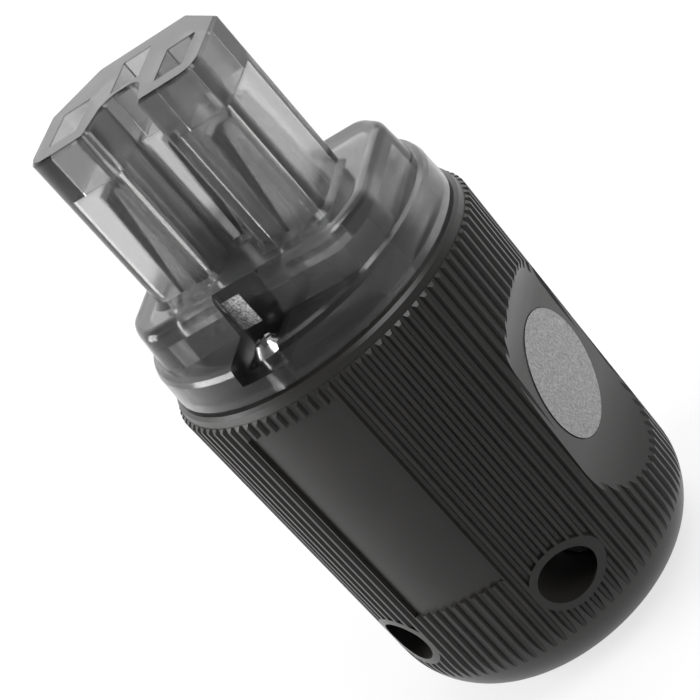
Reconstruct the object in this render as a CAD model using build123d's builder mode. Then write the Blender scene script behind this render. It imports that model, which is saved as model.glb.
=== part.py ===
from build123d import *
import math
import os

os.makedirs("parts", exist_ok=True)

# Rewireable mains connector with a clear keyed nose on a fluted black shell.
# Millimetres. The flat rear end lies on Z = 0, the nose points along +Z,
# the keyed long side of the nose faces -Y and the labelled grip faces +X.

# Heights
total_height = 77.7
nose_length = 20.2
shoulder_height = 5.0
flange_height = 4.5
shadow_gap = 0.2
cut_past = 1.0

# Nose
nose_width = 22.3
nose_depth = 15.3
nose_shift = -0.3
nose_chamfer = 5.2
nose_corner = 2.3
nose_soft = 1.0
nose_edge = 0.35
nose_root = 0.6
nose_wall = 1.25
near_wall = 1.45
front_wall = 5.7
key_mouth = 6.9
key_depth = 5.5
key_slope = 0.24
key_round = 1.9
key_lip = 0.6

# Pin entries
pin_pitch = 14.0
earth_offset = 4.0
slot_width = 3.75
slot_height = 6.25
slot_corner = 0.3
chamber_play = 1.05
earth_play = 0.2
chamber_corner = 0.5

# Shoulder and flange
shoulder_grow_side = 4.55
shoulder_grow_near = 3.95
shoulder_grow_far = 3.55
shoulder_draft = 5.0
shoulder_corner = 3.0
shoulder_chamfer = 3.4
shoulder_edge = 1.2
shoulder_inset = 0.2
flange_radius = 18.05
flange_draft = 0.15
flange_edge = 0.8
flange_break = 0.3

# Screws that hold the front to the shell
screw_circle = 13.9
screw_hole = 1.5
screw_shank = 1.25
screw_head = 2.0
screw_head_height = 0.6
screw_dome = 1.0
screw_reach = 12.0
screw_relief = 1.5
recess_width = 0.6
recess_length = 2.6
recess_depth = 0.8
recess_turn = 25.0
channel_width = 5.9
channel_back = 3.2
channel_floor = 2.3
channel_corner = 0.5
channel_reach = 12.0

# Shell
shell_turn = -3.5
shell_front_radius = 19.15
shell_rear_radius = 18.57
rear_round = 9.5
ring_step = 0.6
ring_height = 1.15
ring_draft = 0.15
ring_break = 0.35
shell_bore = 14.6
rear_wall = 6.5
cable_hole = 4.8
cable_lead = 0.8
flute_count = 90
flute_depth = 0.42
rib_crest = 0.38
rib_foot = 0.88
flute_over = 0.1
panel_angle = 36.0
panel_low = 17.0
panel_gap = 1.95
panel_sink = 0.05
boss_radius = 3.1
boss_front_drop = 3.4
boss_length = 22.0
wall_bite = 0.5

# Grip flats
grip_depth = 2.33
grip_share = 0.555
grip_tilt = 2.9
grip_flat = 12.6
grip_runout = 11.0
grip_sweep = 50.0
label_radius = 7.2
label_thickness = 0.25
label_recess = 0.15
label_play = 0.1

# Screwdriver wells and cable clamp
well_offset = 10.44
well_height = 12.85
well_radius = 2.85
well_ring = 0.85
well_seat = 7.0
saddle_top = 17.2
saddle_face = 1.0
clamp_groove = 5.0
clamp_thickness = 6.2
clamp_length = 7.6
clamp_shank = 1.5
clamp_play = 0.2
clamp_head = 2.6
clamp_head_height = 1.9
clamp_recess = 3.4

# Contact carrier and contacts
cavity_wall = 2.55
cavity_roof = 2.9
cavity_corner = 2.0
carrier_play = 0.2
block_wall = 1.2
window_sill = 3.6
contact_clear = 0.6
earth_clear = 0.3
contact_fit = 0.1
contact_wall = 0.6
contact_setback = 1.6
sleeve_pinch = 1.3
sleeve_bevel = 0.9
sleeve_lead = 0.35
seam_mouth = 1.8
seam_foot = 0.6
terminal_grow = 0.75
terminal_length = 8.5
wire_hole = 1.6
wire_stop = 1.2
terminal_shank = 1.25
terminal_head = 2.1
terminal_head_height = 1.5

# Derived heights and positions
nose_foot = total_height - nose_length
flange_top = nose_foot - shoulder_height
flange_foot = flange_top - flange_height
shell_front = flange_foot - shadow_gap
ring_foot = shell_front - ring_height
channel_low = flange_foot + channel_floor
boss_front = shell_front - boss_front_drop
nose_half = nose_width / 2
nose_near = nose_shift - nose_depth / 2
nose_far = nose_shift + nose_depth / 2
live_x = pin_pitch / 2
live_y = nose_shift - earth_offset / 2
earth_y = nose_shift + earth_offset / 2
chamber_front = total_height - front_wall
cavity_top = nose_foot - cavity_roof
cavity_half = nose_half + shoulder_grow_side - cavity_wall
cavity_near = nose_near - shoulder_grow_near + cavity_wall
cavity_far = nose_far + shoulder_grow_far - cavity_wall
shell_slope = (shell_front_radius - shell_rear_radius) / (ring_foot - rear_round)
ring_radius = shell_front_radius - ring_step
flute_low = rear_round / 2
panel_high = ring_foot - panel_gap
contact_width = slot_width + 2 * chamber_play - 2 * contact_clear
live_rise = slot_height + 2 * chamber_play - 2 * contact_clear
earth_rise = slot_height + 2 * earth_play - 2 * earth_clear
contact_top = chamber_front - contact_setback
block_half = live_x + contact_width / 2 + contact_fit + block_wall
live_inner = live_x - slot_width / 2 - chamber_play
chamber_chamfer = nose_chamfer - nose_wall * (2 - math.sqrt(2))
shoulder_rim = flange_radius - flange_draft - flange_edge
flange_bevel = flange_edge / math.sqrt(2)
shoulder_run = shoulder_height * math.tan(math.radians(shoulder_draft))
sleeve_lead_angle = math.degrees(math.atan2(1, 2))
sleeve_taper = math.degrees(math.atan2(sleeve_pinch / 2, contact_top - cavity_top))
grip_rise = math.tan(math.radians(grip_tilt)) * grip_flat / 2
turn = math.radians(shell_turn)
shell_side = (math.cos(turn), math.sin(turn), 0)
shell_near = (math.sin(turn), -math.cos(turn), 0)
near_plane = Plane((0, 0, 0), x_dir=shell_side, z_dir=shell_near)
shell_plane = Plane((0, 0, 0), x_dir=shell_side, z_dir=(0, 0, 1))
tilt = math.radians(grip_tilt)
screw_places = ((0, -screw_circle), (0, screw_circle))
well_places = ((-well_offset, well_height), (well_offset, well_height))


def crest_radius(height):
    return shell_rear_radius + shell_slope * (height - rear_round)


grip_height = grip_share * ring_foot
grip_distance = crest_radius(grip_height) - grip_depth
label_plane = Plane(
    (grip_distance * math.cos(turn), grip_distance * math.sin(turn), grip_height),
    x_dir=(-math.sin(turn), math.cos(turn), 0),
    z_dir=(math.cos(tilt) * math.cos(turn), math.cos(tilt) * math.sin(turn), -math.sin(tilt)),
)


def nose_outline(side, near, far, chamfer_length):
    half = nose_half + side
    low = nose_near - near
    high = nose_far + far
    with BuildSketch() as outline:
        with BuildLine():
            Polyline(
                (-half, low),
                (half, low),
                (half, high - chamfer_length),
                (half - chamfer_length, high),
                (-half + chamfer_length, high),
                (-half, high - chamfer_length),
                close=True,
            )
        make_face()
    return outline.sketch


def shoulder_outline(grow, rim):
    with BuildSketch() as outline:
        add(
            nose_outline(
                shoulder_grow_side + grow,
                shoulder_grow_near + grow,
                shoulder_grow_far + grow,
                shoulder_chamfer,
            )
        )
        Circle(rim, mode=Mode.INTERSECT)
        fillet(outline.vertices(), shoulder_corner)
    return outline.sketch


def rib_outline(height):
    # Ring of ribs, scaled with the taper so that each rib wall stays flat
    scale = crest_radius(height) / shell_front_radius
    low = shell_front_radius - flute_depth
    high = shell_front_radius + flute_over
    rib_over = rib_crest - (rib_foot - rib_crest) * flute_over / flute_depth
    foot = rib_foot / 2 / low
    tip = rib_over / 2 / high
    points = []
    for index in range(flute_count):
        middle = math.radians(shell_turn + index * 360 / flute_count)
        for radius, angle in ((low, -foot), (high, -tip), (high, tip), (low, foot)):
            points.append(
                (scale * radius * math.cos(middle + angle), scale * radius * math.sin(middle + angle))
            )
    return points


# Clear front moulding: nose, shoulder and round flange in one piece
with BuildPart() as front_housing:
    with BuildSketch(Plane.XZ):
        with BuildLine():
            Polyline(
                (0, flange_foot),
                (flange_radius - flange_break, flange_foot),
                (flange_radius, flange_foot + flange_break),
                (flange_radius - flange_draft, flange_top - flange_edge),
                (shoulder_rim + flange_bevel, flange_top - flange_edge + flange_bevel),
                (shoulder_rim, flange_top),
                (0, flange_top),
                close=True,
            )
        make_face()
    revolve(axis=Axis.Z)
    with BuildSketch(Plane.XY.offset(nose_foot)):
        add(shoulder_outline(-shoulder_run, shoulder_rim - shoulder_inset - shoulder_run))
    extrude(amount=-shoulder_height, taper=-shoulder_draft)
    fillet(front_housing.faces().sort_by(Axis.Z)[-1].outer_wire().edges(), shoulder_edge)
    # Nose with the key groove along its near long side, down to the shoulder
    with BuildSketch(Plane.XY.offset(nose_foot)) as nose:
        add(nose_outline(0, 0, 0, nose_chamfer))
        fillet(nose.vertices().sort_by(Axis.Y)[2:], nose_soft)
        fillet(nose.vertices().group_by(Axis.Y)[0], nose_corner)
        with BuildLine():
            Polyline(
                (-key_mouth / 2 - key_slope * cut_past, nose_near - cut_past),
                (key_mouth / 2 + key_slope * cut_past, nose_near - cut_past),
                (key_mouth / 2 - key_slope * key_depth, nose_near + key_depth),
                (-key_mouth / 2 + key_slope * key_depth, nose_near + key_depth),
                close=True,
            )
        make_face(mode=Mode.SUBTRACT)
        groove_low = nose_near + key_depth + cut_past
        groove = nose.vertices().filter_by_position(Axis.X, -key_mouth, key_mouth)
        groove = groove.filter_by_position(Axis.Y, nose_near - cut_past, groove_low)
        fillet(groove.group_by(Axis.Y)[-1], key_round)
        lips = nose.vertices().filter_by_position(Axis.X, -key_mouth, key_mouth)
        fillet(lips.group_by(Axis.Y)[0], key_lip)
    extrude(amount=nose_length)
    chamfer(front_housing.faces().sort_by(Axis.Z)[-1].outer_wire().edges(), nose_edge)
    ledge = front_housing.faces().filter_by(Axis.Z).sort_by(Axis.Z)[-2]
    chamfer(ledge.inner_wires()[0].edges(), nose_root)
    # Pin entries through the front wall and the contact chambers behind them
    with BuildSketch(Plane.XY.offset(total_height)):
        with Locations((-live_x, live_y), (live_x, live_y), (0, earth_y)):
            RectangleRounded(slot_width, slot_height, slot_corner)
    extrude(amount=-front_wall - cut_past, mode=Mode.SUBTRACT)
    with BuildSketch(Plane.XY.offset(chamber_front)) as chambers:
        add(nose_outline(-nose_wall, -near_wall, -nose_wall, chamber_chamfer))
        Rectangle(2 * live_inner, 2 * nose_depth, mode=Mode.SUBTRACT)
        fillet(chambers.vertices(), chamber_corner)
        with Locations((0, earth_y)):
            RectangleRounded(
                slot_width + 2 * chamber_play, slot_height + 2 * earth_play, chamber_corner
            )
    extrude(amount=cavity_top - chamber_front - cut_past, mode=Mode.SUBTRACT)
    # Cavity for the contact carrier
    with BuildSketch(Plane.XY.offset(flange_foot)):
        with Locations((0, (cavity_near + cavity_far) / 2)):
            RectangleRounded(2 * cavity_half, cavity_far - cavity_near, cavity_corner)
        Circle(shell_bore, mode=Mode.INTERSECT)
    extrude(amount=cavity_top - flange_foot, mode=Mode.SUBTRACT)
    # Screw channels, open to the rim
    with BuildSketch(Plane.XY.offset(channel_low)):
        for way in (-1, 1):
            with Locations((0, way * (screw_circle - channel_back + channel_reach / 2))):
                RectangleRounded(channel_width, channel_reach, channel_corner)
    extrude(amount=nose_foot - channel_low + cut_past, mode=Mode.SUBTRACT)
    with BuildSketch(Plane.XY.offset(flange_foot)):
        with Locations(*screw_places):
            Circle(screw_hole)
    extrude(amount=channel_floor, mode=Mode.SUBTRACT)
front_housing.part.label = "front_housing"
export_step(front_housing.part, "parts/front_housing.step")


# Cutter that leaves the fine lengthwise ribs and the plain ring round each well
with BuildPart() as flute_cutter:
    with BuildSketch(Plane.XY.offset(flute_low)):
        Circle(shell_front_radius + cut_past)
    extrude(amount=ring_foot - flute_low)
    with BuildSketch(Plane.XY.offset(flute_low)):
        with BuildLine():
            Polyline(*rib_outline(flute_low), close=True)
        make_face()
    with BuildSketch(Plane.XY.offset(ring_foot)):
        with BuildLine():
            Polyline(*rib_outline(ring_foot), close=True)
        make_face()
    loft(ruled=True, mode=Mode.SUBTRACT)
    with BuildSketch(near_plane):
        with Locations(*well_places):
            Circle(well_radius + well_ring)
    extrude(amount=shell_front_radius + 2 * cut_past, mode=Mode.SUBTRACT)


# Black fluted shell
with BuildPart() as rear_shell:
    with BuildSketch(Plane.XZ):
        with BuildLine():
            Polyline(
                (0, 0),
                (0, shell_front),
                (ring_radius - ring_break, shell_front),
                (ring_radius, shell_front - ring_break),
                (ring_radius + ring_draft, ring_foot),
                (shell_front_radius - ring_break, ring_foot),
                (shell_front_radius, ring_foot - ring_break),
                (shell_rear_radius, rear_round),
            )
            RadiusArc((shell_rear_radius, rear_round), (shell_rear_radius - rear_round, 0), rear_round)
            Line((shell_rear_radius - rear_round, 0), (0, 0))
        make_face()
    revolve(axis=Axis.Z)
    add(flute_cutter.part, mode=Mode.SUBTRACT)
    # Rib-free panel on the near side
    panel_start = math.radians(shell_turn - 90 - panel_angle / 2)
    panel_side = Plane(
        (0, 0, 0),
        x_dir=(math.cos(panel_start), math.sin(panel_start), 0),
        z_dir=(math.sin(panel_start), -math.cos(panel_start), 0),
    )
    with BuildSketch(panel_side):
        with BuildLine():
            Polyline(
                (crest_radius(panel_low) - flute_depth - panel_sink, panel_low),
                (shell_front_radius + cut_past, panel_low),
                (shell_front_radius + cut_past, panel_high),
                (crest_radius(panel_high) - flute_depth - panel_sink, panel_high),
                close=True,
            )
        make_face()
    revolve(axis=Axis.Z, revolution_arc=panel_angle, mode=Mode.SUBTRACT)
    # Grip flats, run out to the ribs along an arc at each end
    with BuildSketch(near_plane):
        with BuildLine():
            flat = Line(
                (grip_distance - grip_rise, grip_height - grip_flat / 2),
                (grip_distance + grip_rise, grip_height + grip_flat / 2),
            )
            upper = JernArc(flat @ 1, flat % 1, grip_runout, -grip_sweep)
            lower = JernArc(flat @ 0, -(flat % 0), grip_runout, grip_sweep)
            Line(upper @ 1, lower @ 1)
        make_face()
        mirror(about=Plane.YZ)
    extrude(amount=shell_front_radius, both=True, mode=Mode.SUBTRACT)
    # Shallow seat for the label
    with BuildSketch(label_plane.offset(-label_recess)):
        Circle(label_radius + label_play)
    extrude(amount=shell_front_radius - grip_distance, mode=Mode.SUBTRACT)
    # Bore, closed at the rear except for the cable hole
    with BuildSketch(Plane.XY.offset(rear_wall)):
        Circle(shell_bore)
    extrude(amount=total_height, mode=Mode.SUBTRACT)
    # Bosses for the two front screws
    with BuildSketch(Plane.XY.offset(boss_front)):
        with Locations(*screw_places):
            Circle(boss_radius)
        Circle(shell_bore + wall_bite, mode=Mode.INTERSECT)
    extrude(amount=-boss_length)
    with BuildSketch(Plane.XY.offset(boss_front)):
        with Locations(*screw_places):
            Circle(screw_shank)
    extrude(amount=-screw_reach - screw_relief, mode=Mode.SUBTRACT)
    with BuildSketch(Plane.XY.offset(boss_front)):
        with Locations(*screw_places):
            Circle(screw_hole)
    extrude(amount=boss_front_drop, mode=Mode.SUBTRACT)
    # Fixed half of the cable clamp
    with BuildSketch(shell_plane.offset(rear_wall - wall_bite)):
        Circle(shell_bore + wall_bite)
        with Locations((0, shell_bore - saddle_face)):
            Rectangle(3 * shell_bore, 2 * shell_bore, mode=Mode.SUBTRACT)
        Circle(clamp_groove, mode=Mode.SUBTRACT)
    extrude(amount=saddle_top - rear_wall + wall_bite)
    with BuildSketch(near_plane.offset(well_seat)):
        with Locations(*well_places):
            Circle(well_radius)
    extrude(amount=shell_front_radius, mode=Mode.SUBTRACT)
    with BuildSketch(near_plane):
        with Locations(*well_places):
            Circle(clamp_shank + clamp_play)
    extrude(amount=well_seat + cut_past, mode=Mode.SUBTRACT)
    # Cable hole with a lead-in
    with BuildSketch(Plane.XY):
        Circle(cable_hole)
    extrude(amount=rear_wall, mode=Mode.SUBTRACT)
    with BuildSketch(Plane.XZ):
        with BuildLine():
            Polyline(
                (0, 0),
                (cable_hole + cable_lead, 0),
                (cable_hole, cable_lead),
                (0, cable_lead),
                close=True,
            )
        make_face()
    revolve(axis=Axis.Z, mode=Mode.SUBTRACT)
rear_shell.part.label = "rear_shell"
export_step(rear_shell.part, "parts/rear_shell.step")


# Dark insulating carrier: a round plate clamped by the front screws, and a block in the cavity
with BuildPart() as contact_carrier:
    with BuildSketch(Plane.XY.offset(boss_front)):
        Circle(shell_bore - carrier_play)
        with Locations(*screw_places):
            Circle(screw_hole, mode=Mode.SUBTRACT)
    extrude(amount=flange_foot - boss_front)
    with BuildSketch(Plane.XY.offset(flange_foot)):
        with Locations((0, (cavity_near + cavity_far) / 2)):
            RectangleRounded(
                2 * block_half,
                cavity_far - cavity_near - 2 * carrier_play,
                cavity_corner - carrier_play,
            )
        Circle(shell_bore - carrier_play, mode=Mode.INTERSECT)
    extrude(amount=cavity_top - flange_foot - carrier_play)
    # Passages for the contacts, with windows in the near face of the block
    with BuildSketch(Plane.XY.offset(boss_front)):
        with Locations((-live_x, live_y), (live_x, live_y)):
            Rectangle(contact_width + 2 * contact_fit, live_rise + 2 * contact_fit)
        with Locations((0, earth_y)):
            Rectangle(contact_width + 2 * contact_fit, earth_rise + 2 * contact_fit)
    extrude(amount=cavity_top - boss_front, mode=Mode.SUBTRACT)
    with BuildSketch(Plane.XY.offset(flange_foot + window_sill)):
        with Locations((-live_x, live_y), (live_x, live_y)):
            Rectangle(
                contact_width + 2 * contact_fit,
                live_y - cavity_near + cut_past,
                align=(Align.CENTER, Align.MAX),
            )
    extrude(amount=cavity_top - flange_foot, mode=Mode.SUBTRACT)
contact_carrier.part.label = "contact_carrier"
export_step(contact_carrier.part, "parts/contact_carrier.step")


def terminal_plane(x, y, rise, way):
    face = y + way * (rise / 2 + terminal_grow)
    middle = boss_front - terminal_length / 2
    return Plane((x, face, middle), x_dir=(1, 0, 0), z_dir=(0, way, 0))


def contact_shape(x, y, rise, way):
    # Rolled spring sleeve with a narrowed mouth and a slanting seam, and a screw terminal behind it
    slim = contact_width - sleeve_pinch
    low = rise - sleeve_pinch
    bore = slim - 2 * contact_wall
    with BuildPart() as contact:
        with BuildSketch(Plane.XY.offset(boss_front)):
            with Locations((x, y)):
                Rectangle(contact_width, rise)
        extrude(amount=cavity_top - boss_front)
        with BuildSketch(Plane.XY.offset(contact_top)) as sleeve:
            with Locations((x, y)):
                Rectangle(slim, low)
            chamfer(sleeve.vertices(), sleeve_bevel)
        extrude(amount=cavity_top - contact_top, taper=-sleeve_taper)
        with BuildSketch(Plane.XY.offset(contact_top)):
            with Locations((x, y)):
                Rectangle(bore, low - 2 * contact_wall)
        extrude(amount=cavity_top - contact_top, taper=-sleeve_taper, mode=Mode.SUBTRACT)
        with BuildSketch(Plane.XY.offset(contact_top - 2 * sleeve_lead)):
            with Locations((x, y)):
                Rectangle(bore, low - 2 * contact_wall)
        extrude(amount=2 * sleeve_lead, taper=-sleeve_lead_angle, mode=Mode.SUBTRACT)
        with BuildSketch(Plane((x, y, 0), x_dir=(1, 0, 0), z_dir=(0, -1, 0))):
            with BuildLine():
                Polyline(
                    (-bore / 2, contact_top),
                    (-bore / 2 + seam_mouth, contact_top),
                    (-bore / 2 - sleeve_pinch / 2 + seam_foot, cavity_top),
                    (-bore / 2 - sleeve_pinch / 2, cavity_top),
                    close=True,
                )
            make_face()
        extrude(amount=rise, mode=Mode.SUBTRACT)
        with BuildSketch(Plane.XY.offset(boss_front)):
            with Locations((x, y)):
                Rectangle(contact_width + 2 * terminal_grow, rise + 2 * terminal_grow)
        extrude(amount=-terminal_length)
        with BuildSketch(Plane.XY.offset(boss_front - terminal_length)):
            with Locations((x, y)):
                Circle(wire_hole)
        extrude(amount=terminal_length - wire_stop, mode=Mode.SUBTRACT)
        with BuildSketch(terminal_plane(x, y, rise, way)):
            Circle(terminal_shank)
        extrude(amount=-rise / 2 - terminal_grow, mode=Mode.SUBTRACT)
    return contact.part


# Three sprung contacts, pushed through the carrier from behind up to their terminals
with BuildPart() as line_contact:
    add(contact_shape(-live_x, live_y, live_rise, -1))
line_contact.part.label = "line_contact"
export_step(line_contact.part, "parts/line_contact.step")

with BuildPart() as neutral_contact:
    add(contact_shape(live_x, live_y, live_rise, -1))
neutral_contact.part.label = "neutral_contact"
export_step(neutral_contact.part, "parts/neutral_contact.step")

with BuildPart() as earth_contact:
    add(contact_shape(0, earth_y, earth_rise, 1))
earth_contact.part.label = "earth_contact"
export_step(earth_contact.part, "parts/earth_contact.step")


# Slotted wire screws in the three terminals
with BuildPart() as terminal_screws:
    for x, y, rise, way in (
        (-live_x, live_y, live_rise, -1),
        (live_x, live_y, live_rise, -1),
        (0, earth_y, earth_rise, 1),
    ):
        face = terminal_plane(x, y, rise, way)
        with BuildSketch(face):
            Circle(terminal_head)
        extrude(amount=terminal_head_height)
        with BuildSketch(face):
            Circle(terminal_shank)
        extrude(amount=-(rise / 2 + terminal_grow - wire_hole))
        with BuildSketch(face.offset(terminal_head_height)):
            Rectangle(2 * terminal_head + cut_past, recess_width)
        extrude(amount=-recess_depth, mode=Mode.SUBTRACT)
terminal_screws.part.label = "terminal_screws"
export_step(terminal_screws.part, "parts/terminal_screws.step")


# Two cross-head screws that draw the front and the carrier onto the shell's bosses
with BuildPart() as housing_screws:
    with BuildSketch(Plane.XY.offset(channel_low)):
        with Locations(*screw_places):
            Circle(screw_head)
    extrude(amount=screw_head_height + screw_dome)
    chamfer(housing_screws.edges().group_by(Axis.Z)[-1], screw_dome)
    with BuildSketch(Plane.XY.offset(channel_low)):
        with Locations(*screw_places):
            Circle(screw_shank)
    extrude(amount=boss_front - screw_reach - channel_low)
    with BuildSketch(Plane.XY.offset(channel_low + screw_head_height + screw_dome)):
        with Locations(*screw_places):
            Rectangle(recess_length, recess_width, rotation=recess_turn)
            Rectangle(recess_width, recess_length, rotation=recess_turn)
    extrude(amount=-recess_depth, mode=Mode.SUBTRACT)
housing_screws.part.label = "housing_screws"
export_step(housing_screws.part, "parts/housing_screws.step")


# Loose half of the cable clamp, drawn down by the two screws in the wells
with BuildPart() as clamp_bar:
    with BuildSketch(shell_plane.offset(well_height - clamp_length / 2)):
        with Locations((0, saddle_face + clamp_thickness / 2)):
            Rectangle(2 * shell_bore, clamp_thickness)
        Circle(shell_bore - 2 * carrier_play, mode=Mode.INTERSECT)
        Circle(clamp_groove, mode=Mode.SUBTRACT)
    extrude(amount=clamp_length)
    with BuildSketch(near_plane):
        with Locations(*well_places):
            Circle(clamp_shank)
    extrude(amount=-saddle_face - clamp_thickness, mode=Mode.SUBTRACT)
clamp_bar.part.label = "clamp_bar"
export_step(clamp_bar.part, "parts/clamp_bar.step")

with BuildPart() as clamp_screws:
    with BuildSketch(near_plane.offset(well_seat)):
        with Locations(*well_places):
            Circle(clamp_head)
    extrude(amount=clamp_head_height)
    with BuildSketch(near_plane.offset(well_seat)):
        with Locations(*well_places):
            Circle(clamp_shank)
    extrude(amount=-well_seat - saddle_face - clamp_thickness)
    with BuildSketch(near_plane.offset(well_seat + clamp_head_height)):
        with Locations(*well_places):
            Rectangle(clamp_recess, recess_width)
            Rectangle(recess_width, clamp_recess)
    extrude(amount=-recess_depth, mode=Mode.SUBTRACT)
clamp_screws.part.label = "clamp_screws"
export_step(clamp_screws.part, "parts/clamp_screws.step")


# Round label on the grip flat
with BuildPart() as label_disc:
    with BuildSketch(label_plane.offset(-label_recess)):
        Circle(label_radius)
    extrude(amount=label_thickness)
label_disc.part.label = "label_disc"
export_step(label_disc.part, "parts/label_disc.step")
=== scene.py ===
import math

import bpy
from mathutils import Matrix, Vector


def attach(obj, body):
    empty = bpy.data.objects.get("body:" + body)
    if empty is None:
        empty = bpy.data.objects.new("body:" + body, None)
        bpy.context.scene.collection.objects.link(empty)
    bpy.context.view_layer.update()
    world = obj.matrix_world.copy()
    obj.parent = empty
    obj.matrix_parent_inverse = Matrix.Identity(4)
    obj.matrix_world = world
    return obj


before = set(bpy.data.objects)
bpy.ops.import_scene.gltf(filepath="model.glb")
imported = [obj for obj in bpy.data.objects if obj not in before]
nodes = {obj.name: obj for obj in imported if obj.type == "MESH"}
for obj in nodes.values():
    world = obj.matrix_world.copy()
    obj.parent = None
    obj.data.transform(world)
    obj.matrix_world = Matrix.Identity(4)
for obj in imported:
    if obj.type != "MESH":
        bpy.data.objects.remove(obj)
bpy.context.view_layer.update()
scene = bpy.context.scene
scene.view_settings.view_transform = "Standard"
mm = 0.001
print("frame loaded:", len(nodes), "nodes")

# the mix node's sockets go by place, because its numbers and colours share their names
mixShare, numberA, numberB, colourA, colourB = 0, 2, 3, 6, 7
numberOut, colourOut = 0, 2

# how many finer layers a noise has: broad waves, soft clouds and specks, or a fine grain
noiseDetail = {"wave": 1.0, "soft": 2.0, "fine": 3.0}


def hexColour(code):
    parts = [int(code[i:i + 2], 16) / 255 for i in (1, 3, 5)]
    linear = [p / 12.92 if p <= 0.04045 else ((p + 0.055) / 1.055) ** 2.4 for p in parts]
    return linear + [1.0]


# one node with its settings; a socket among the values is linked, anything else is set
def addNode(tree, kind, sockets=None, **settings):
    node = tree.nodes.new(kind)
    for name, value in settings.items():
        setattr(node, name, value)
    for name, value in (sockets or {}).items():
        if isinstance(value, bpy.types.NodeSocket):
            tree.links.new(value, node.inputs[name])
        else:
            node.inputs[name].default_value = value
    return node


def newMaterial(name):
    material = bpy.data.materials.new(name)
    material.use_nodes = True
    material.node_tree.nodes.clear()
    return material, material.node_tree


def dress(nodeName, material):
    mesh = nodes[nodeName].data
    mesh.materials.clear()
    mesh.materials.append(material)


# Smoked polycarbonate, injection moulded: clear, and grey in depth.
# A faint haze in the mass and a satin surface blur what lies deep, a little more at the flange.
smoked = {
    "ior": 1.585,
    "tint": "#ffffff",
    # painted shade: the solid cap above the pin chamber is painted darker, its end face most of
    # all
    "paintedShades": {
        "cap": {"start": 71.6 * mm, "full": 72.4 * mm, "colour": "#dcdcdc"},
        "face": {"start": 77.5 * mm, "full": 77.6 * mm, "colour": "#787878"},
    },
    "smoke": "#606060",
    "density": 125.0,  # per metre: 10 mm of smoke lets about a third of the light through
    "haze": "#d0d0d0",
    "hazeDensity": 40.0,
    "hazeForward": 0.4,
    "lampTint": "#ececec",  # what the surface lets through of the lamps' light
    "flangeRoughness": 0.2,
    "flangeBelow": 56 * mm,
    "noseRoughness": 0.16,
    "noseAbove": 59 * mm,
    "waveSize": 5 * mm,
    "waveDepth": 0.02 * mm,
    # painted shade: the screw channels' walls are painted nearly black where they show only
    # shade: |x| up to half, |y| from back, z from low
    "channel": {
        "half": 2.97 * mm, "back": 10.68 * mm, "low": 50.28 * mm,
        "dark": "#0c0c0c", "share": 0.9,
    },
}


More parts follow.
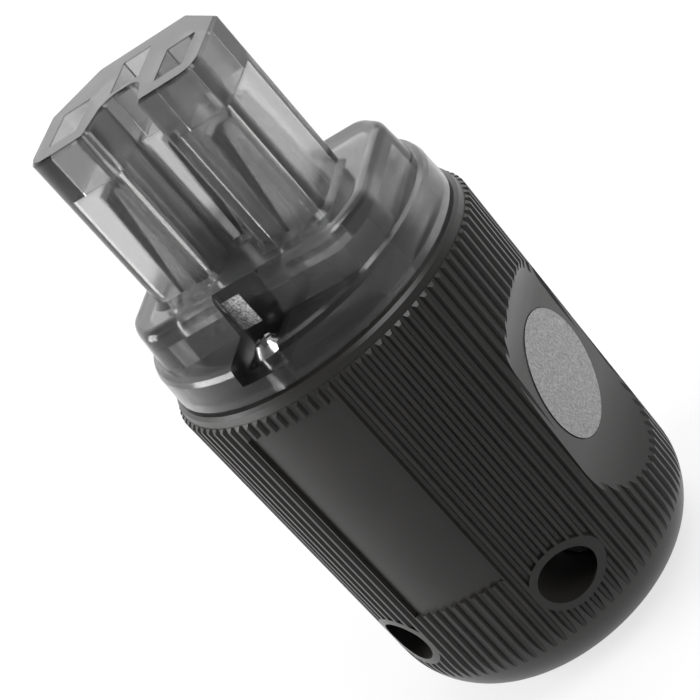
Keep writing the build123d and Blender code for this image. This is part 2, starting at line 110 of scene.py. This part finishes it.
def smokedPolycarbonate():
    material, tree = newMaterial("smokedPolycarbonateMoulded")
    place = addNode(tree, "ShaderNodeTexCoord")
    wave = addNode(tree, "ShaderNodeTexNoise", {
        "Vector": place.outputs["Object"],
        "Scale": 1 / smoked["waveSize"],
        "Detail": noiseDetail["wave"],
    })
    bump = addNode(tree, "ShaderNodeBump", {
        "Height": wave.outputs[0],
        "Distance": smoked["waveDepth"],
    })
    spot = addNode(tree, "ShaderNodeSeparateXYZ", {0: place.outputs["Object"]})
    rough = addNode(tree, "ShaderNodeMapRange", {
        "Value": spot.outputs["Z"],
        "From Min": smoked["flangeBelow"],
        "From Max": smoked["noseAbove"],
        "To Min": smoked["flangeRoughness"],
        "To Max": smoked["noseRoughness"],
    })
    colour = hexColour(smoked["tint"])
    # painted shade: the cap and its end face get a darker colour by height
    for tint in smoked["paintedShades"].values():
        reached = addNode(tree, "ShaderNodeMapRange", {
            "Value": spot.outputs["Z"],
            "From Min": tint["start"],
            "From Max": tint["full"],
        })
        layer = addNode(tree, "ShaderNodeMix", {
            mixShare: reached.outputs[0],
            colourA: colour,
            colourB: hexColour(tint["colour"]),
        }, data_type="RGBA")
        colour = layer.outputs[colourOut]
    shader = addNode(tree, "ShaderNodeBsdfPrincipled", {
        "Base Color": colour,
        "Roughness": rough.outputs[0],
        "IOR": smoked["ior"],
        "Transmission Weight": 1.0,
        "Normal": bump.outputs[0],
    })
    path = addNode(tree, "ShaderNodeLightPath")
    through = addNode(tree, "ShaderNodeBsdfTransparent", {
        "Color": hexColour(smoked["lampTint"]),
    })
    clear = addNode(tree, "ShaderNodeMixShader", {
        0: path.outputs["Is Shadow Ray"],
        1: shader.outputs[0],
        2: through.outputs[0],
    })
    # painted shade: an opaque near-black surface replaces the clear plastic on the screw channel
    # walls
    channel = smoked["channel"]
    dark = addNode(tree, "ShaderNodeBsdfPrincipled", {
        "Base Color": hexColour(channel["dark"]),
        "Roughness": smoked["flangeRoughness"],
        "IOR": smoked["ior"],
    })
    across = addNode(tree, "ShaderNodeMath", {0: spot.outputs["X"]}, operation="ABSOLUTE")
    outward = addNode(tree, "ShaderNodeMath", {0: spot.outputs["Y"]}, operation="ABSOLUTE")
    paintedShadeMask = addNode(tree, "ShaderNodeMath", {
        0: across.outputs[0],
        1: channel["half"],
    }, operation="LESS_THAN")
    limits = ((outward.outputs[0], channel["back"]), (spot.outputs["Z"], channel["low"]))
    for coordinate, limit in limits:
        past = addNode(tree, "ShaderNodeMath", {
            0: coordinate,
            1: limit,
        }, operation="GREATER_THAN")
        paintedShadeMask = addNode(tree, "ShaderNodeMath", {
            0: paintedShadeMask.outputs[0],
            1: past.outputs[0],
        }, operation="MULTIPLY")
    share = addNode(tree, "ShaderNodeMath", {
        0: paintedShadeMask.outputs[0],
        1: channel["share"],
    }, operation="MULTIPLY")
    mix = addNode(tree, "ShaderNodeMixShader", {
        0: share.outputs[0],
        1: clear.outputs[0],
        2: dark.outputs[0],
    })
    smoke = addNode(tree, "ShaderNodeVolumeAbsorption", {
        "Color": hexColour(smoked["smoke"]),
        "Density": smoked["density"],
    })
    haze = addNode(tree, "ShaderNodeVolumeScatter", {
        "Color": hexColour(smoked["haze"]),
        "Density": smoked["hazeDensity"],
        "Anisotropy": smoked["hazeForward"],
    })
    depth = addNode(tree, "ShaderNodeAddShader", {0: smoke.outputs[0], 1: haze.outputs[0]})
    addNode(tree, "ShaderNodeOutputMaterial", {
        "Surface": mix.outputs[0],
        "Volume": depth.outputs[0],
    })
    return material


dress("front_housing", smokedPolycarbonate())


# Moulded plastics: two close colours in soft clouds, and a fine grain in sheen and relief.
# Black nylon from a finely eroded tool is deep black with a soft broad sheen.
# Pressed phenolic is duller and shows through the smoked front; its grey is painted lighter than
# the dark phenolic itself, painted light where little lamp light reaches it.
mouldings = {
    "blackNylonMoulded": {
        "dark": "#1c1b1a", "light": "#272524", "roughness": 0.34, "spread": 0.05, "ior": 1.53,
        "grain": 0.25 * mm, "depth": 0.006 * mm, "cloud": 9 * mm,
    },
    "phenolicPressedPaintedLight": {
        "dark": "#5c5c5c", "light": "#6e6e6e", "roughness": 0.5, "spread": 0.08, "ior": 1.6,
        "grain": 0.4 * mm, "depth": 0.01 * mm, "cloud": 3 * mm,
    },
}


def mouldedPlastic(name):
    plastic = mouldings[name]
    material, tree = newMaterial(name)
    place = addNode(tree, "ShaderNodeTexCoord")
    grain = addNode(tree, "ShaderNodeTexNoise", {
        "Vector": place.outputs["Object"],
        "Scale": 1 / plastic["grain"],
        "Detail": noiseDetail["fine"],
    })
    cloud = addNode(tree, "ShaderNodeTexNoise", {
        "Vector": place.outputs["Object"],
        "Scale": 1 / plastic["cloud"],
        "Detail": noiseDetail["soft"],
    })
    colour = addNode(tree, "ShaderNodeMix", {
        mixShare: cloud.outputs[0],
        colourA: hexColour(plastic["dark"]),
        colourB: hexColour(plastic["light"]),
    }, data_type="RGBA")
    rough = addNode(tree, "ShaderNodeMapRange", {
        "Value": grain.outputs[0],
        "To Min": plastic["roughness"] - plastic["spread"],
        "To Max": plastic["roughness"] + plastic["spread"],
    })
    bump = addNode(tree, "ShaderNodeBump", {
        "Height": grain.outputs[0],
        "Distance": plastic["depth"],
    })
    shader = addNode(tree, "ShaderNodeBsdfPrincipled", {
        "Base Color": colour.outputs[colourOut],
        "Roughness": rough.outputs[0],
        "IOR": plastic["ior"],
        "Normal": bump.outputs[0],
    })
    addNode(tree, "ShaderNodeOutputMaterial", {"Surface": shader.outputs[0]})
    return material


black = mouldedPlastic("blackNylonMoulded")
for name in ("rear_shell", "clamp_bar"):
    dress(name, black)
# painted light: the carrier gets a lighter grey than its dark phenolic
dress("contact_carrier", mouldedPlastic("phenolicPressedPaintedLight"))

# Metals: colour, a duller second colour, roughness, and the grain's size across and along
metals = {
    "brightPlatedSteel": {  # near white, with small sharp glints
        "colour": "#e2e2e2", "dull": "#cccccc", "roughness": 0.2, "spread": 0.06,
        "across": 0.4 * mm, "along": 0.4 * mm, "depth": 0.002 * mm,
    },
    "zincPlatedSteel": {  # greyer and softer
        "colour": "#d2d2d2", "dull": "#b4b4b4", "roughness": 0.26, "spread": 0.08,
        "across": 0.4 * mm, "along": 0.4 * mm, "depth": 0.003 * mm,
    },
    "silverPlatedBrass": {  # silver grey, with faint streaks along the contact
        "colour": "#c6c6c6", "dull": "#a8a8a8", "roughness": 0.28, "spread": 0.08,
        "across": 0.5 * mm, "along": 3 * mm, "depth": 0.004 * mm,
    },
    "labelFoilGrained": {  # grey foil with a fine grain that breaks up its sheen
        "colour": "#b2b2b2", "dull": "#7c7c7c", "roughness": 0.42, "spread": 0.12,
        "across": 0.16 * mm, "along": 0.3 * mm, "depth": 0.008 * mm,
    },
    "tinnedBrassSpangled": {  # rough white tin with grey flecks
        "colour": "#ffffff", "dull": "#808080", "roughness": 0.5, "spread": 0.1,
        "across": 0.25 * mm, "along": 0.25 * mm, "depth": 0.01 * mm,
    },
}
# Layers on the part of a piece below a height: tin leaves the contacts' terminal ends bright,
# rough and speckled, and painted shade leaves the housing screws' shanks dark.
tinAndShadeLayers = {
    "tin": {
        "below": 57 * mm, "speck": 0.3 * mm,
        "dark": "#8a8a8a", "bright": "#ffffff", "roughness": 0.55,
    },
    # painted shade: the screw shanks below the channel floor are painted near black
    "paintedShankShade": {
        "below": 50.3 * mm, "speck": 0.3 * mm,
        "dark": "#101010", "bright": "#202020", "roughness": 0.6,
    },
}
# noise values between which one colour turns into the other
grainTurn = (0.3, 0.7)
speckTurn = (0.4, 0.6)


def grainedMetal(name):
    metal = metals[name]
    material, tree = newMaterial(name)
    place = addNode(tree, "ShaderNodeTexCoord")
    stretch = addNode(tree, "ShaderNodeMapping", {
        "Vector": place.outputs["Object"],
        "Scale": (1 / metal["across"], 1 / metal["across"], 1 / metal["along"]),
    })
    grain = addNode(tree, "ShaderNodeTexNoise", {
        "Vector": stretch.outputs[0],
        "Scale": 1.0,
        "Detail": noiseDetail["fine"],
    })
    speckle = addNode(tree, "ShaderNodeMapRange", {
        "Value": grain.outputs[0],
        "From Min": grainTurn[0],
        "From Max": grainTurn[1],
    })
    colour = addNode(tree, "ShaderNodeMix", {
        mixShare: speckle.outputs[0],
        colourA: hexColour(metal["colour"]),
        colourB: hexColour(metal["dull"]),
    }, data_type="RGBA")
    rough = addNode(tree, "ShaderNodeMapRange", {
        "Value": grain.outputs[0],
        "To Min": metal["roughness"] - metal["spread"],
        "To Max": metal["roughness"] + metal["spread"],
    })
    bump = addNode(tree, "ShaderNodeBump", {
        "Height": grain.outputs[0],
        "Distance": metal["depth"],
    })
    shader = addNode(tree, "ShaderNodeBsdfPrincipled", {
        "Base Color": colour.outputs[colourOut],
        "Metallic": 1.0,
        "Roughness": rough.outputs[0],
        "Normal": bump.outputs[0],
    })
    addNode(tree, "ShaderNodeOutputMaterial", {"Surface": shader.outputs[0]})
    return material


def tinAndShadeBelow(material, name):
    tinAndShade = tinAndShadeLayers[name]
    tree = material.node_tree
    shader = tree.nodes["Principled BSDF"]
    place = addNode(tree, "ShaderNodeTexCoord")
    spot = addNode(tree, "ShaderNodeSeparateXYZ", {0: place.outputs["Object"]})
    lowerPart = addNode(tree, "ShaderNodeMath", {
        0: spot.outputs["Z"],
        1: tinAndShade["below"],
    }, operation="LESS_THAN")
    speck = addNode(tree, "ShaderNodeTexNoise", {
        "Vector": place.outputs["Object"],
        "Scale": 1 / tinAndShade["speck"],
        "Detail": noiseDetail["soft"],
    })
    sharp = addNode(tree, "ShaderNodeMapRange", {
        "Value": speck.outputs[0],
        "From Min": speckTurn[0],
        "From Max": speckTurn[1],
    })
    spangle = addNode(tree, "ShaderNodeMix", {
        mixShare: sharp.outputs[0],
        colourA: hexColour(tinAndShade["dark"]),
        colourB: hexColour(tinAndShade["bright"]),
    }, data_type="RGBA")
    colour = addNode(tree, "ShaderNodeMix", {
        mixShare: lowerPart.outputs[0],
        colourA: shader.inputs["Base Color"].links[0].from_socket,
        colourB: spangle.outputs[colourOut],
    }, data_type="RGBA")
    rough = addNode(tree, "ShaderNodeMix", {
        mixShare: lowerPart.outputs[0],
        numberA: shader.inputs["Roughness"].links[0].from_socket,
        numberB: tinAndShade["roughness"],
    }, data_type="FLOAT")
    tree.links.new(colour.outputs[colourOut], shader.inputs["Base Color"])
    tree.links.new(rough.outputs[numberOut], shader.inputs["Roughness"])


steel = grainedMetal("brightPlatedSteel")
tinAndShadeBelow(steel, "paintedShankShade")
dress("housing_screws", steel)
innerSteel = grainedMetal("zincPlatedSteel")
for name in ("clamp_screws", "terminal_screws"):
    dress(name, innerSteel)
silver = grainedMetal("silverPlatedBrass")
tinAndShadeBelow(silver, "tin")
for name in ("line_contact", "neutral_contact", "earth_contact"):
    dress(name, silver)
dress("label_disc", grainedMetal("labelFoilGrained"))
print("materials set")

# Tinned tab at the back of the near screw channel: a thin bright plate beside the screw
tab = {
    "left": -2.93 * mm, "right": -0.45 * mm,
    "low": 52.4 * mm, "high": 56.2 * mm,
    "face": -10.8 * mm, "back": -10.71 * mm,
}


def makeTab():
    outline = (
        (tab["left"], tab["low"]),
        (tab["right"], tab["low"]),
        (tab["right"], tab["high"]),
        (tab["left"], tab["high"]),
    )
    corners = [(x, y, z) for y in (tab["face"], tab["back"]) for x, z in outline]
    ends = [(0, 1, 2, 3), (7, 6, 5, 4)]
    sides = [(i, (i + 1) % 4, (i + 1) % 4 + 4, i + 4)[::-1] for i in range(4)]
    mesh = bpy.data.meshes.new("tinned_tab")
    mesh.from_pydata(corners, [], ends + sides)
    mesh.materials.append(grainedMetal("tinnedBrassSpangled"))
    plate = bpy.data.objects.new("tinned_tab", mesh)
    scene.collection.objects.link(plate)
    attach(plate, "root")


makeTab()
print("tab made")

# White surround beyond the object, falling to a dark room on the viewer's side.
# Camera rays see white all over, and the floor keeps a soft shadow.
stage = {
    "half": 4.0,
    "floor": "#f2f2f2",
    "light": "#ffffff",
    "shadowShare": 0.28,
    "worldLight": 0.55,
    "whiteWay": (-0.47, 0.79, -0.39),
    "darkAt": -0.3,
    "whiteAt": 0.5,
    "roomLight": 0.12,
    "middle": (0, 0, 60 * mm),
}


# how bright the surround is along a direction, for reflections and through the clear plastic
def surroundLight(tree, path, direction):
    facing = addNode(tree, "ShaderNodeVectorMath", {
        0: direction,
        1: stage["whiteWay"],
    }, operation="DOT_PRODUCT")
    fall = addNode(tree, "ShaderNodeMapRange", {
        "Value": facing.outputs["Value"],
        "From Min": stage["darkAt"],
        "From Max": stage["whiteAt"],
        "To Min": stage["roomLight"],
        "To Max": 1.0,
    }, interpolation_type="SMOOTHSTEP")
    light = addNode(tree, "ShaderNodeMath", {
        0: fall.outputs[0],
        1: path.outputs["Is Camera Ray"],
    }, operation="MAXIMUM")
    return light.outputs[0]


# 1 for the rays that show the background: straight to the camera, mirrored or through the plastic
def backgroundRay(tree, path):
    mirrored = addNode(tree, "ShaderNodeMath", {
        0: path.outputs["Is Glossy Ray"],
        1: path.outputs["Is Transmission Ray"],
    }, operation="MAXIMUM")
    seen = addNode(tree, "ShaderNodeMath", {
        0: path.outputs["Is Camera Ray"],
        1: mirrored.outputs[0],
    }, operation="MAXIMUM")
    return seen.outputs[0]


def makeFloor():
    half = stage["half"]
    mesh = bpy.data.meshes.new("floor")
    corners = [(-half, -half, 0), (half, -half, 0), (half, half, 0), (-half, half, 0)]
    mesh.from_pydata(corners, [], [(0, 1, 2, 3)])
    floor = bpy.data.objects.new("floor", mesh)
    scene.collection.objects.link(floor)
    material, tree = newMaterial("paleFloor")
    path = addNode(tree, "ShaderNodeLightPath")
    spot = addNode(tree, "ShaderNodeNewGeometry")
    away = addNode(tree, "ShaderNodeVectorMath", {
        0: spot.outputs["Position"],
        1: stage["middle"],
    }, operation="SUBTRACT")
    direction = addNode(tree, "ShaderNodeVectorMath", {0: away.outputs[0]}, operation="NORMALIZE")
    share = addNode(tree, "ShaderNodeMath", {
        0: backgroundRay(tree, path),
        1: 1 - stage["shadowShare"],
    }, operation="MULTIPLY")
    matt = addNode(tree, "ShaderNodeBsdfDiffuse", {"Color": hexColour(stage["floor"])})
    white = addNode(tree, "ShaderNodeEmission", {
        "Color": hexColour(stage["light"]),
        "Strength": surroundLight(tree, path, direction.outputs[0]),
    })
    mix = addNode(tree, "ShaderNodeMixShader", {
        0: share.outputs[0],
        1: matt.outputs[0],
        2: white.outputs[0],
    })
    addNode(tree, "ShaderNodeOutputMaterial", {"Surface": mix.outputs[0]})
    mesh.materials.append(material)


def makeWorld():
    world = bpy.data.worlds.new("studio")
    scene.world = world
    world.use_nodes = True
    tree = world.node_tree
    tree.nodes.clear()
    path = addNode(tree, "ShaderNodeLightPath")
    way = addNode(tree, "ShaderNodeTexCoord")
    strength = addNode(tree, "ShaderNodeMix", {
        mixShare: backgroundRay(tree, path),
        numberA: stage["worldLight"],
        numberB: surroundLight(tree, path, way.outputs["Generated"]),
    }, data_type="FLOAT")
    shine = addNode(tree, "ShaderNodeBackground", {
        "Color": hexColour(stage["light"]),
        "Strength": strength.outputs[numberOut],
    })
    addNode(tree, "ShaderNodeOutputWorld", {"Surface": shine.outputs[0]})


makeFloor()
makeWorld()

# Soft boxes: place, size and power of each, all aimed at the middle of the body
lamps = {
    "leftBox": {"place": (-0.45, -0.22, 0.18), "size": 0.35, "power": 3.2},
    "rightBox": {"place": (0.30, -0.10, 0.50), "size": 0.30, "power": 1.2},
    "topBox": {"place": (0.00, 0.36, 0.52), "size": 0.50, "power": 1.2},
    "backBox": {"place": (-0.28, 0.47, 0.33), "size": 0.45, "power": 0.2},
}
bodyMiddle = Vector((0, 0, 38 * mm))
for name, lamp in lamps.items():
    data = bpy.data.lights.new(name, "AREA")
    data.size = lamp["size"]
    data.energy = lamp["power"]
    box = bpy.data.objects.new(name, data)
    scene.collection.objects.link(box)
    box.location = lamp["place"]
    box.rotation_euler = (bodyMiddle - box.location).to_track_quat("-Z", "Y").to_euler()
print("stage and lamps set")

# Long lens from the keyed side, rolled so that the nose points up and left
camera = {
    "place": (122.66 * mm, -208.85 * mm, 143.97 * mm),
    "aim": (-1.14 * mm, -0.68 * mm, 39.79 * mm),
    "roll": 41.55,
    "lens": 129.11,
    "sensor": 36,
    "nearest": 10 * mm,
}
eyeData = bpy.data.cameras.new("camera")
eyeData.sensor_width = camera["sensor"]
eyeData.lens = camera["lens"]
eyeData.clip_start = camera["nearest"]
eye = bpy.data.objects.new("camera", eyeData)
scene.collection.objects.link(eye)
scene.camera = eye
ahead = (Vector(camera["aim"]) - Vector(camera["place"])).normalized()
level = ahead.to_track_quat("-Z", "Y").to_matrix().to_4x4()
roll = Matrix.Rotation(-math.radians(camera["roll"]), 4, "Z")
eye.matrix_world = Matrix.Translation(camera["place"]) @ level @ roll
print("camera set")
